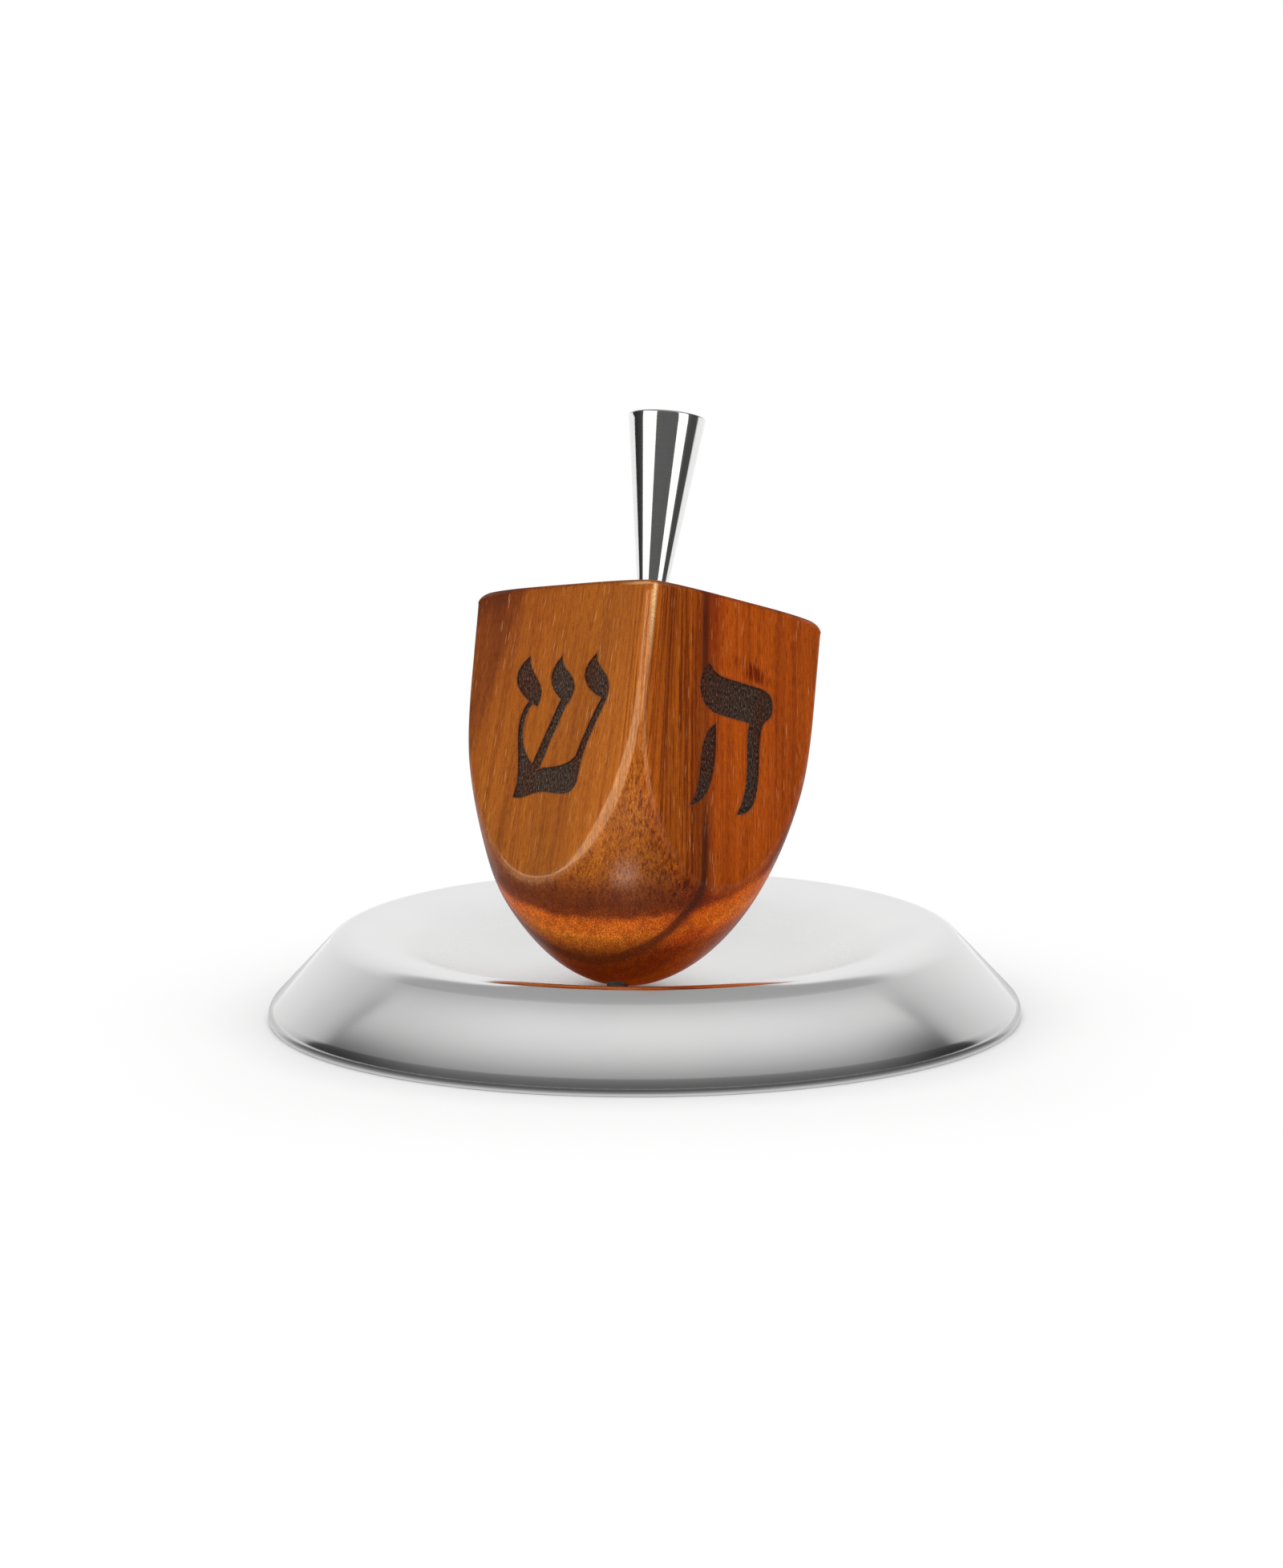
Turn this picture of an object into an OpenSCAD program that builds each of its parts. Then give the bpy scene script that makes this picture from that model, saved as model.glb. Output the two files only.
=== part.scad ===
// Wooden four-sided spinning top with a tapered metal handle, leaning on its tip in a turned metal dish.
// Millimetres. The origin is the centre of the dish's underside, +Z is up and the front is toward -Y.
// The top is drawn upright with its nose at its own origin, then leant over onto the dish.

/* [Wooden block] */
// Width across two opposite flat sides
block_side = 42; // [36:0.5:46]
// Height from the nose to the flat top
block_h = 65; // [60:0.2:72]
// Radius of the four upright edges
corner_r = 1.2; // [0.6:0.1:3]
// Largest radius of the domed lower end
dome_r = 29.5; // [28:0.1:34]
// Height of the domed lower end
dome_h = 50.4; // [46:0.2:58]
// Width of the small bevel round the flat top
top_bevel = 0.8; // [0.4:0.1:1.5]

/* [Letters] */
// Height of the letters
letter_h = 24.4; // [18:0.2:26]
// Distance from the flat top down to the letters
letter_drop = 12.1; // [9:0.1:14]
// Depth of the letters
letter_depth = 0.3; // [0.2:0.05:0.8]
// Distance of the letters' middle to the right of the middle of each side
letter_shift = 1.4; // [0:0.1:2]

/* [Handle] */
// Length of the handle above the block
handle_len = 32.7; // [26:0.1:40]
// Diameter of the handle at its top
handle_d = 13.2; // [10:0.1:16]
// Diameter of the straight neck at the foot of the handle
neck_d = 5.2; // [4.8:0.1:7]
// Length of the neck
neck_len = 3.4; // [2:0.1:5]
// Width of the bevel round the handle's top
handle_bevel = 0.4; // [0.2:0.1:1]

/* [Stud and insert] */
// Diameter of the threaded stud
stud_d = 3; // [2.5:0.1:3.4]
// Length of the stud inside the handle
stud_up = 8; // [6:0.5:12]
// Length of the stud inside the block
stud_down = 9; // [7:0.5:12]
// Bevel at the ends of the stud
stud_bevel = 0.4; // [0.2:0.1:0.6]
// Diameter of the brass insert
insert_d = 4.8; // [4.6:0.1:6]
// Length of the insert
insert_len = 10; // [8:0.5:14]
// Length of the groove round the middle of the insert
groove_len = 1.6; // [1:0.1:2.4]
// Depth of that groove
groove_depth = 0.3; // [0.2:0.05:0.4]
// Clearance round the stud, the insert and the pin of the tip
fit_gap = 0.05; // [0.03:0.01:0.1]
// Depth of a drilled hole past the end of what is in it
drill_room = 0.5; // [0.3:0.1:0.9]

/* [Spinning tip] */
// Diameter of the round-nosed steel pin
tip_d = 4; // [3:0.1:6]
// Length of the pin
tip_len = 10; // [7:0.5:14]
// Length of the pin that stands out of the nose
tip_out = 1.3; // [1.2:0.1:2]

/* [Dish] */
// Diameter of the dish at its foot
dish_d = 127; // [110:1:150]
// Height of the crest of the rim
dish_h = 15; // [13:0.1:20]
// Distance of the crest in from the foot's edge
crest_in = 14.4; // [12:0.1:17]
// Radius of the rim outside the crest
rim_r = 5.6; // [3:0.1:7]
// Radius of the rim inside the crest, where it rolls over into the bowl
lip_r = 26; // [18:1:30]
// Depth of the bowl below the crest
bowl_depth = 10.6; // [8:0.1:11.5]
// Radius of the foot's outer edge
foot_r = 2.8; // [1.6:0.1:4]
// Height of the dish's widest place, where that edge is upright
foot_z = 1; // [0.3:0.1:1.5]
// Distance from the dish's widest place in to its underside's recess
foot_w = 4.5; // [3.5:0.1:8]
// Depth of the turned recess inside that ring
recess = 0.8; // [0.5:0.1:1.5]

/* [Pose] */
// Angle of the top's axis from upright
lean = 20.8; // [0:0.1:22]
// Direction of the lean, from +X toward +Y
lean_toward = 75; // [0:1:360]
// Turn of the block about its own axis
turn = 45; // [0:1:90]
// Place of the tip in the bowl, to the right of its centre
tip_x = -4.55; // [-6:0.05:6]
// Place of the tip in the bowl, behind its centre
tip_y = -2; // [-6:0.05:6]
// Gap between the tip and the bowl
tip_gap = 0.2; // [0.1:0.05:0.3]

/* [Hidden] */
$fn = 96;
// Straight steps along each edge of a letter's stroke, along the dome and along each arc of the dish
stroke_steps = 8;
dome_steps = 30;
arc_steps = 12;
// Overrun of the cuts
over = 1;
// Two outline points closer than this are one point
same = 0.001;

letter_base = block_h - letter_drop - letter_h;
neck_r = neck_d / 2;
handle_r = handle_d / 2;
stud_r = stud_d / 2;
insert_r = insert_d / 2;
tip_r = tip_d / 2;

dish_r = dish_d / 2;
crest_r = dish_r - crest_in;
foot_c = [dish_r - foot_r, foot_z];
rim_c = [crest_r, dish_h - rim_r];
// Direction of the flank's outward normal, where the flank touches the foot's and the rim's arcs
flank = atan2(rim_c[1] - foot_c[1], rim_c[0] - foot_c[0]) - acos((foot_r - rim_r) / norm(rim_c - foot_c));
// The bowl is part of a sphere that meets the lip's arc smoothly
bowl_r = (crest_r * crest_r + bowl_depth * bowl_depth) / (2 * bowl_depth) - lip_r;
bowl_c = [0, dish_h - bowl_depth + bowl_r];
lip_c = [crest_r, dish_h - lip_r];
lip_turn = asin(crest_r / (bowl_r + lip_r));
// Height of the middle of the tip's round nose, which clears the bowl by its gap
tip_reach = bowl_r - tip_r - tip_gap;
tip_z = bowl_c[1] - sqrt(tip_reach * tip_reach - tip_x * tip_x - tip_y * tip_y);

function bezier(p) = [for (i = [0:stroke_steps]) let (t = i / stroke_steps, s = 1 - t)
    s * s * s * p[0] + 3 * s * s * t * p[1] + 3 * s * t * t * p[2] + t * t * t * p[3]];
function backward(p) = [for (i = [len(p) - 1:-1:0]) p[i]];
function arc(c, r, from, to) = [for (i = [0:arc_steps]) let (a = from + (to - from) * i / arc_steps)
    c + r * [cos(a), sin(a)]];
// Drops each point that repeats the one before it, or closes the outline a second time
function distinct(p) = [for (i = [0:len(p) - 1]) if (norm(p[i] - p[(i + 1) % len(p)]) > same) p[i]];

// The four traditional letters. A stroke is two edges, each a cubic curve's four points, in shares
// of the letter's height: across from the letter's middle, and up from its foot.
he_shares = [
    [[[-0.29, 1.00], [-0.41, 0.92], [-0.40, 0.72], [-0.22, 0.675]],
     [[-0.29, 1.00], [-0.23, 0.91], [-0.10, 0.93], [0.05, 0.92]]],
    [[[-0.23, 0.675], [-0.10, 0.655], [0.10, 0.67], [0.25, 0.65]],
     [[0.04, 0.92], [0.20, 0.91], [0.40, 0.95], [0.35, 0.74]]],
    [[[0.155, 0.70], [0.09, 0.50], [0.24, 0.25], [0.095, 0.01]],
     [[0.29, 0.70], [0.19, 0.50], [0.42, 0.05], [0.095, 0.01]]],
    [[[-0.184, 0.60], [-0.40, 0.46], [-0.22, 0.18], [-0.37, 0.00]],
     [[-0.184, 0.60], [-0.155, 0.40], [-0.12, 0.06], [-0.37, 0.00]]]];
shin_shares = [
    [[[-0.32, 1.00], [-0.56, 0.86], [-0.38, 0.72], [-0.213, 0.64]],
     [[-0.32, 1.00], [-0.33, 0.86], [-0.10, 0.80], [-0.213, 0.64]]],
    [[[-0.27, 0.70], [-0.50, 0.54], [-0.27, 0.25], [-0.373, 0.016]],
     [[-0.22, 0.70], [-0.44, 0.52], [-0.30, 0.26], [-0.15, 0.205]]],
    [[[-0.373, 0.016], [-0.29, -0.02], [-0.22, 0.035], [-0.10, 0.037]],
     [[-0.373, 0.016], [-0.33, 0.10], [-0.25, 0.18], [-0.10, 0.205]]],
    [[[-0.11, 0.037], [0.00, 0.045], [0.19, -0.05], [0.238, 0.10]],
     [[-0.11, 0.205], [0.06, 0.205], [0.14, 0.215], [0.209, 0.28]]],
    [[[0.235, 0.09], [0.26, 0.32], [0.34, 0.44], [0.46, 0.67]],
     [[0.19, 0.25], [0.24, 0.36], [0.28, 0.47], [0.41, 0.68]]],
    [[[0.324, 0.985], [0.13, 0.86], [0.24, 0.72], [0.44, 0.66]],
     [[0.324, 0.985], [0.33, 0.84], [0.52, 0.86], [0.455, 0.655]]],
    [[[-0.008, 0.985], [-0.20, 0.84], [-0.05, 0.70], [0.085, 0.645]],
     [[-0.008, 0.985], [-0.02, 0.86], [0.24, 0.84], [0.085, 0.645]]],
    [[[0.01, 0.68], [-0.06, 0.54], [-0.14, 0.38], [-0.215, 0.235]],
     [[0.085, 0.67], [0.01, 0.52], [-0.07, 0.37], [-0.14, 0.20]]]];
nun_shares = [
    [[[-0.06, 1.00], [-0.24, 0.84], [-0.10, 0.72], [0.10, 0.66]],
     [[-0.06, 1.00], [-0.05, 0.86], [0.22, 0.86], [0.10, 0.66]]],
    [[[0.02, 0.71], [0.06, 0.50], [0.04, 0.30], [0.06, 0.08]],
     [[0.10, 0.72], [0.12, 0.50], [0.20, 0.30], [0.20, 0.08]]],
    [[[-0.25, 0.00], [-0.10, 0.06], [0.10, -0.04], [0.20, 0.08]],
     [[-0.22, 0.17], [-0.08, 0.22], [0.02, 0.18], [0.19, 0.18]]]];
gimel_shares = [
    [[[-0.08, 1.00], [-0.26, 0.84], [-0.12, 0.72], [0.08, 0.66]],
     [[-0.08, 1.00], [-0.07, 0.86], [0.20, 0.86], [0.08, 0.66]]],
    [[[0.00, 0.71], [0.04, 0.45], [0.12, 0.25], [0.10, 0.02]],
     [[0.08, 0.72], [0.14, 0.45], [0.26, 0.20], [0.25, 0.00]]],
    [[[0.10, 0.36], [-0.02, 0.24], [-0.12, 0.16], [-0.24, 0.15]],
     [[0.14, 0.24], [0.02, 0.13], [-0.16, 0.06], [-0.25, 0.00]]]];
// Going round the block, each letter with its turn from the front right side
letters = [[he_shares, 0], [shin_shares, -90], [nun_shares, -180], [gimel_shares, -270]];

module letter(shares)
    for (stroke = shares)
        polygon(distinct(letter_h * concat(bezier(stroke[0]), backward(bezier(stroke[1])))));

// Takes what is drawn on the top's own axis to its place and lean in the dish
module leant()
    translate([tip_x, tip_y, tip_z])
        rotate([0, 0, lean_toward]) rotate([0, lean, 0]) rotate([0, 0, turn - lean_toward])
            translate([0, 0, tip_out - tip_r])
                children();

// Square prism with four round upright edges
module prism() {
    inner = block_side - 2 * corner_r;
    for (size = [[block_side, inner], [inner, block_side]])
        translate([-size[0] / 2, -size[1] / 2, 0]) cube([size[0], size[1], block_h]);
    for (x = [-inner / 2, inner / 2], y = [-inner / 2, inner / 2])
        translate([x, y, 0]) cylinder(r = corner_r, h = block_h);
}

// Half an ellipse up to its widest place, then straight up past the block's top
module dome()
    rotate_extrude()
        polygon(concat(
            [for (i = [0:dome_steps]) let (a = 90 * i / dome_steps) [dome_r * sin(a), dome_h * (1 - cos(a))]],
            [[dome_r, block_h + over], [0, block_h + over]]));

module bevel_cuts()
    for (a = [0:90:270])
        rotate([0, 0, a]) translate([0, -block_side / 2, block_h - top_bevel]) rotate([45, 0, 0])
            translate([-block_side, -top_bevel, 0]) cube([2 * block_side, 3 * top_bevel, 2 * top_bevel]);

module wood_body()
    color("chocolate") leant()
        difference() {
            intersection() {
                prism();
                dome();
            }
            bevel_cuts();
            for (side = letters)
                rotate([0, 0, side[1]]) translate([letter_shift, letter_depth - block_side / 2, letter_base])
                    rotate([90, 0, 0]) linear_extrude(letter_depth + over) letter(side[0]);
            translate([0, 0, block_h - insert_len])
                cylinder(r = insert_r + fit_gap, h = insert_len + over);
            translate([0, 0, block_h - stud_down - drill_room])
                cylinder(r = stud_r + fit_gap, h = stud_down + drill_room + over);
            translate([0, 0, -over])
                cylinder(r = tip_r + fit_gap, h = over + tip_len - tip_out);
        }

module handle()
    color("silver") leant() translate([0, 0, block_h])
        difference() {
            rotate_extrude()
                polygon([[0, 0], [neck_r, 0], [neck_r, neck_len], [handle_r, handle_len - handle_bevel],
                    [handle_r - handle_bevel, handle_len], [0, handle_len]]);
            translate([0, 0, -over]) cylinder(r = stud_r + fit_gap, h = over + stud_up + drill_room);
        }

module handle_stud()
    color("gray") leant() translate([0, 0, block_h])
        rotate_extrude()
            polygon([[0, -stud_down], [stud_r - stud_bevel, -stud_down], [stud_r, stud_bevel - stud_down],
                [stud_r, stud_up - stud_bevel], [stud_r - stud_bevel, stud_up], [0, stud_up]]);

module threaded_insert()
    color("goldenrod") leant() translate([0, 0, block_h - insert_len])
        difference() {
            cylinder(r = insert_r, h = insert_len);
            translate([0, 0, (insert_len - groove_len) / 2])
                difference() {
                    cylinder(r = insert_r + over, h = groove_len);
                    translate([0, 0, -over]) cylinder(r = insert_r - groove_depth, h = groove_len + 2 * over);
                }
            translate([0, 0, -over]) cylinder(r = stud_r + fit_gap, h = insert_len + 2 * over);
        }

module spin_tip()
    color("lightsteelblue") leant() translate([0, 0, tip_r - tip_out]) {
        sphere(r = tip_r);
        cylinder(r = tip_r, h = tip_len - tip_r);
    }

module dish()
    color("gainsboro")
        rotate_extrude()
            polygon(distinct(concat(
                [[dish_r - foot_w, 0]],
                arc(foot_c, foot_r, -asin(foot_z / foot_r), flank),
                arc(rim_c, rim_r, flank, 90),
                arc(lip_c, lip_r, 90, 90 + lip_turn),
                arc(bowl_c, bowl_r, lip_turn - 90, -90),
                [[0, recess], [dish_r - foot_w, recess]])));

dish();
wood_body();
handle();
handle_stud();
threaded_insert();
spin_tip();
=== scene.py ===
"""Looks of the wooden dreidel leaning in its metal dish: finer pieces, materials, light and camera."""

import math
from functools import reduce
from types import SimpleNamespace

import bmesh
import bpy
import numpy as np
from mathutils import Matrix, Vector
from mathutils.geometry import delaunay_2d_cdt


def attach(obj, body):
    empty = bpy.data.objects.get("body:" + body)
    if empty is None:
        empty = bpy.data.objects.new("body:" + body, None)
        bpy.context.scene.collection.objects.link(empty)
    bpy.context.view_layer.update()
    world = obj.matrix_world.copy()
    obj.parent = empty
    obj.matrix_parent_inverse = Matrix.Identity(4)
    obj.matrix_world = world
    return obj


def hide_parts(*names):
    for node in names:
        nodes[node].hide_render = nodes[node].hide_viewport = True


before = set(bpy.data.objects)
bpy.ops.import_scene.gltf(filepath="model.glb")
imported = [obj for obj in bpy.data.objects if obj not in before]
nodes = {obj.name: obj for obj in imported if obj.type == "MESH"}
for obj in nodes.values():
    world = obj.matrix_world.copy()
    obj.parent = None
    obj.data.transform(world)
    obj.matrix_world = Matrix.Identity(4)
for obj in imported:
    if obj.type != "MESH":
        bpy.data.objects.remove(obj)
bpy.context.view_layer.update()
MM = 0.001

# Sizes of the CAD model, in millimetres and degrees
SIDE, HEIGHT, CORNER = 42.0, 65.0, 1.2
HALF = SIDE / 2
DOME_R, DOME_H = 29.5, 50.4
LETTER_H, LETTER_DROP, LETTER_DEPTH, LETTER_SHIFT = 24.4, 12.1, 0.3, 1.4
HANDLE_L, HANDLE_D, NECK_D, NECK_L = 32.7, 13.2, 5.2, 3.4
STUD_D, STUD_UP, INSERT_D, INSERT_L, FIT, ROOM = 3.0, 8.0, 4.8, 10.0, 0.05, 0.5
TIP_D, TIP_L, TIP_OUT, TIP_GAP = 4.0, 10.0, 1.3, 0.2
DISH_D, DISH_H, CREST_IN, RIM_R, LIP_R = 127.0, 15.0, 14.4, 5.6, 26.0
BOWL_DEPTH, FOOT_R, FOOT_Z, FOOT_W, RECESS = 10.6, 2.8, 1.0, 4.5, 0.8
LEAN, TOWARD, TURN, TIP_X, TIP_Y = 20.8, 75.0, 45.0, -4.55, -2.0
CREST_R = DISH_D / 2 - CREST_IN
BOWL_R = (CREST_R ** 2 + BOWL_DEPTH ** 2) / (2 * BOWL_DEPTH) - LIP_R
BOWL_Z = DISH_H - BOWL_DEPTH + BOWL_R
TIP_Z = BOWL_Z - math.sqrt((BOWL_R - TIP_D / 2 - TIP_GAP) ** 2 - TIP_X ** 2 - TIP_Y ** 2)

# From the top's own axis, in millimetres with its nose at the origin, to its place and lean in the dish
AXIS_PLACE = (
    Matrix.Translation((TIP_X * MM, TIP_Y * MM, TIP_Z * MM))
    @ Matrix.Rotation(math.radians(TOWARD), 4, "Z")
    @ Matrix.Rotation(math.radians(LEAN), 4, "Y")
    @ Matrix.Rotation(math.radians(TURN - TOWARD), 4, "Z")
    @ Matrix.Translation((0, 0, (TIP_OUT - TIP_D / 2) * MM))
)

# What only the visible meshes have, in millimetres and degrees
SHARP = 50.0                                    # an edge that turns by more than this shades sharp
RIDGE = 1.1                                     # softness of the ridge between the flat sides and the dome
TOP_ROUND, TOP_CORNER = 1.0, 1.5                # rounding round the flat top, and how much more at its corners
FULLER, FULL_Z, FULL_SPREAD = 0.28, 14.5, 6.5   # how much fuller the dome is sanded, at which height, and how far on
FULL_SIDE, FULL_UNEVEN = 150.0, 0.9             # where around the axis it is fullest, and how unevenly
NECK_BEVEL, NECK_SOFT, GRIP_CROWN = 0.15, 0.5, 0.3   # the handle's small roundings: foot, neck and rim
FOOT_FLAT = 0.4                                 # width of the dish's flat foot inside its rounding
FLANK_LOW, FLANK_HIGH = 37.0, 48.0              # slopes that the dish's flank shades with, low and high
FLANK_FROM, FLANK_TO = 5.0, 80.0                # slopes on the foot and the rim between which it differs
DIP, DIP_FROM, DIP_AT = 17.0, 66.0, 86.0        # how far the rim shades lower at the front, from and at which slope
DIP_FULL, DIP_END = 20.0, 34.0                  # and how far round it does so, fully and at all
SIDE_POINTS, CORNER_STEPS, TOP_STEPS, LID_STEPS = 61, 8, 8, 13   # the block's grid
DOME_ROWS, SIDE_ROWS = 74, 75                   # its rings on the dome and on the sides
DOME_BIAS, SIDE_BIAS = 1.25, 1.35               # and how much closer they lie toward the ridge
HANDLE_SEGMENTS, NECK_POINTS, GRIP_POINTS, CROWN_STEPS, LID_POINTS = 160, 4, 26, 8, 8
DISH_SEGMENTS, UNDER_POINTS, FOOT_STEPS, CONE_POINTS, RIM_STEPS, LIP_STEPS, BOWL_STEPS = 288, 8, 22, 26, 24, 22, 40

# The mesh round the letters, in millimetres
MARGIN = 4                                      # columns between a side's edge and its window
WINDOW_FOOT, WINDOW_TOP = 0.085, 3              # its gap below, as a share of the side, and above, in rings
GRID, JITTER = 0.75, 0.18                       # spacing of the inner points, and how far chance moves them
BESIDE = (-0.5, -0.28, -0.14, 0.14, 0.28, 0.5)  # rows of points along both sides of a stroke's edge
RING_CLEAR, STROKE_CLEAR = 0.35, 0.1            # least distance of an inner point from the window and a stroke
SCORCH, SCORCH_REACH = 0.6, 0.35                # scorch beside a stroke, and how far it reaches

# The letters' strokes as in part.scad: two edges of four points each, in shares of the letters' height
HE = [
    [[[-0.29, 1.00], [-0.41, 0.92], [-0.40, 0.72], [-0.22, 0.675]],
     [[-0.29, 1.00], [-0.23, 0.91], [-0.10, 0.93], [0.05, 0.92]]],
    [[[-0.23, 0.675], [-0.10, 0.655], [0.10, 0.67], [0.25, 0.65]],
     [[0.04, 0.92], [0.20, 0.91], [0.40, 0.95], [0.35, 0.74]]],
    [[[0.155, 0.70], [0.09, 0.50], [0.24, 0.25], [0.095, 0.01]],
     [[0.29, 0.70], [0.19, 0.50], [0.42, 0.05], [0.095, 0.01]]],
    [[[-0.184, 0.60], [-0.40, 0.46], [-0.22, 0.18], [-0.37, 0.00]],
     [[-0.184, 0.60], [-0.155, 0.40], [-0.12, 0.06], [-0.37, 0.00]]]]
SHIN = [
    [[[-0.32, 1.00], [-0.56, 0.86], [-0.38, 0.72], [-0.213, 0.64]],
     [[-0.32, 1.00], [-0.33, 0.86], [-0.10, 0.80], [-0.213, 0.64]]],
    [[[-0.27, 0.70], [-0.50, 0.54], [-0.27, 0.25], [-0.373, 0.016]],
     [[-0.22, 0.70], [-0.44, 0.52], [-0.30, 0.26], [-0.15, 0.205]]],
    [[[-0.373, 0.016], [-0.29, -0.02], [-0.22, 0.035], [-0.10, 0.037]],
     [[-0.373, 0.016], [-0.33, 0.10], [-0.25, 0.18], [-0.10, 0.205]]],
    [[[-0.11, 0.037], [0.00, 0.045], [0.19, -0.05], [0.238, 0.10]],
     [[-0.11, 0.205], [0.06, 0.205], [0.14, 0.215], [0.209, 0.28]]],
    [[[0.235, 0.09], [0.26, 0.32], [0.34, 0.44], [0.46, 0.67]],
     [[0.19, 0.25], [0.24, 0.36], [0.28, 0.47], [0.41, 0.68]]],
    [[[0.324, 0.985], [0.13, 0.86], [0.24, 0.72], [0.44, 0.66]],
     [[0.324, 0.985], [0.33, 0.84], [0.52, 0.86], [0.455, 0.655]]],
    [[[-0.008, 0.985], [-0.20, 0.84], [-0.05, 0.70], [0.085, 0.645]],
     [[-0.008, 0.985], [-0.02, 0.86], [0.24, 0.84], [0.085, 0.645]]],
    [[[0.01, 0.68], [-0.06, 0.54], [-0.14, 0.38], [-0.215, 0.235]],
     [[0.085, 0.67], [0.01, 0.52], [-0.07, 0.37], [-0.14, 0.20]]]]
NUN = [
    [[[-0.06, 1.00], [-0.24, 0.84], [-0.10, 0.72], [0.10, 0.66]],
     [[-0.06, 1.00], [-0.05, 0.86], [0.22, 0.86], [0.10, 0.66]]],
    [[[0.02, 0.71], [0.06, 0.50], [0.04, 0.30], [0.06, 0.08]],
     [[0.10, 0.72], [0.12, 0.50], [0.20, 0.30], [0.20, 0.08]]],
    [[[-0.25, 0.00], [-0.10, 0.06], [0.10, -0.04], [0.20, 0.08]],
     [[-0.22, 0.17], [-0.08, 0.22], [0.02, 0.18], [0.19, 0.18]]]]
GIMEL = [
    [[[-0.08, 1.00], [-0.26, 0.84], [-0.12, 0.72], [0.08, 0.66]],
     [[-0.08, 1.00], [-0.07, 0.86], [0.20, 0.86], [0.08, 0.66]]],
    [[[0.00, 0.71], [0.04, 0.45], [0.12, 0.25], [0.10, 0.02]],
     [[0.08, 0.72], [0.14, 0.45], [0.26, 0.20], [0.25, 0.00]]],
    [[[0.10, 0.36], [-0.02, 0.24], [-0.12, 0.16], [-0.24, 0.15]],
     [[0.14, 0.24], [0.02, 0.13], [-0.16, 0.06], [-0.25, 0.00]]]]
# The letters of the block's sides, counterclockwise as seen from above, from the front right side on
LETTERS = (HE, GIMEL, NUN, SHIN)

# How far the wood's fibres lean for each millimetre of height, and from where to where across the block they
# turn upright toward the two front sides
FIBRE_X, FIBRE_Y, FIBRE_TURN = 0.118, 0.11, (-HALF, -13.0)
# Colours of the growth layers, by the distance in millimetres from the dark one
LAYERS = [
    (-23.0, (0.39, 0.105, 0.008)), (-14.0, (0.41, 0.112, 0.008)), (-10.8, (0.335, 0.088, 0.007)),
    (-9.4, (0.29, 0.076, 0.006)), (-6.0, (0.30, 0.078, 0.005)), (-3.6, (0.30, 0.075, 0.005)),
    (-1.4, (0.25, 0.056, 0.004)), (1.0, (0.22, 0.035, 0.002)), (3.0, (0.335, 0.056, 0.002)),
    (9.0, (0.37, 0.064, 0.002)), (14.0, (0.37, 0.064, 0.002)), (19.0, (0.305, 0.050, 0.002)),
    (30.0, (0.32, 0.058, 0.003))]
# What the cut across the grain does to them on the nose, together with painted light and shade: a band of painted
# shade, below it a painted bright band of the light that the bowl throws up, and painted shade on the tip, by the
# height in millimetres over the bright band's edge
NOSE_GRAIN_AND_LIGHT = [
    (-16.0, (0.55, 0.40, 0.5)), (-10.0, (0.55, 0.40, 0.5)), (-7.0, (1.2, 0.95, 1.0)), (-3.0, (1.85, 1.5, 1.4)),
    (-1.4, (1.6, 1.15, 1.1)), (0.0, (0.66, 0.42, 0.5)), (2.5, (0.50, 0.34, 0.4)), (5.5, (0.66, 0.52, 0.7)),
    (9.0, (0.95, 0.95, 1.0)), (12.0, (1.0, 1.0, 1.0))]
# How strong the dark layer is, by the share of the block's height
DARK_POWER = [(0.0, 0.45), (0.10, 0.75), (0.2, 1.0), (0.38, 0.85), (0.47, 0.3), (0.58, 0.12), (0.72, 0.2),
              (0.80, 0.75), (0.93, 0.85), (1.0, 0.5)]
# What the wood's patterns do to its colour, and the char's own colours, by the pattern's value
BROAD_TONES = [(0.30, (0.79, 0.72, 0.69)), (0.5, (1.0, 1.0, 1.0)), (0.72, (1.13, 1.18, 1.12))]
FINE_TONES = [(0.30, (0.77, 0.69, 0.65)), (0.46, (0.98, 0.97, 0.96)), (0.70, (1.16, 1.22, 1.20))]
DASH_TONES = [(0.30, (0.60, 0.50, 0.46)), (0.46, (0.95, 0.94, 0.93)), (0.56, (1.04, 1.05, 1.05)),
              (0.72, (1.30, 1.40, 1.38))]
MOTTLE_TONES = [(0.30, (0.86, 0.82, 0.80)), (0.50, (1.0, 1.0, 1.0)), (0.70, (1.12, 1.15, 1.15))]
CHAR_TONES = [(0.36, (0.008, 0.006, 0.005)), (0.48, (0.024, 0.016, 0.012)), (0.58, (0.075, 0.045, 0.034)),
              (0.70, (0.18, 0.13, 0.105))]

# The studio as mirrors show it. FRONT points from the object to where the photograph was taken
FRONT = (0.0, -0.978, 0.208)
# Tones of its front half, by the slope in degrees of a mirror at the object that shows the tone from the front
FRONT_TONES = [(-20, 0.95), (-8, 0.40), (-4, 0.13), (5, 0.10), (20, 0.13), (30, 0.17), (36, 0.22), (38, 0.42),
               (40, 0.60), (42, 0.72), (44, 0.76), (46, 0.70), (47.5, 0.54), (49, 0.43), (54, 0.37), (66, 0.35),
               (76, 0.34), (90, 0.34)]
# Tones of its far half, by the degrees past where it starts, and of the light without mirrors, by height
BACK_TONES = [(0.0, 0.24), (2.8, 0.40), (7.84, 0.53), (14.0, 0.60), (20.16, 0.67), (26.88, 0.73), (38.08, 0.80),
              (56.0, 0.84)]
SOFT_TONES = [(-1.0, 0.55), (0.0, 0.55), (1.0, 0.75)]
# How dark mirrors see the floor close to the dish's foot, a painted shade, by the distance in metres from the dish's
# axis
MIRROR_SHADE_TONES = [(0.0633, 0.0), (0.0636, 0.1), (0.0640, 0.45), (0.0647, 0.8), (0.0660, 0.94), (0.0683, 1.0)]
FLOOR_R, FLOOR_Z, FLOOR_CORNERS = 2.5, -0.00005, 64
PANEL_X, PANEL_Y, PANEL_Z = (-0.055, 0.055), (0.112, 0.5), 0.15

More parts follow.
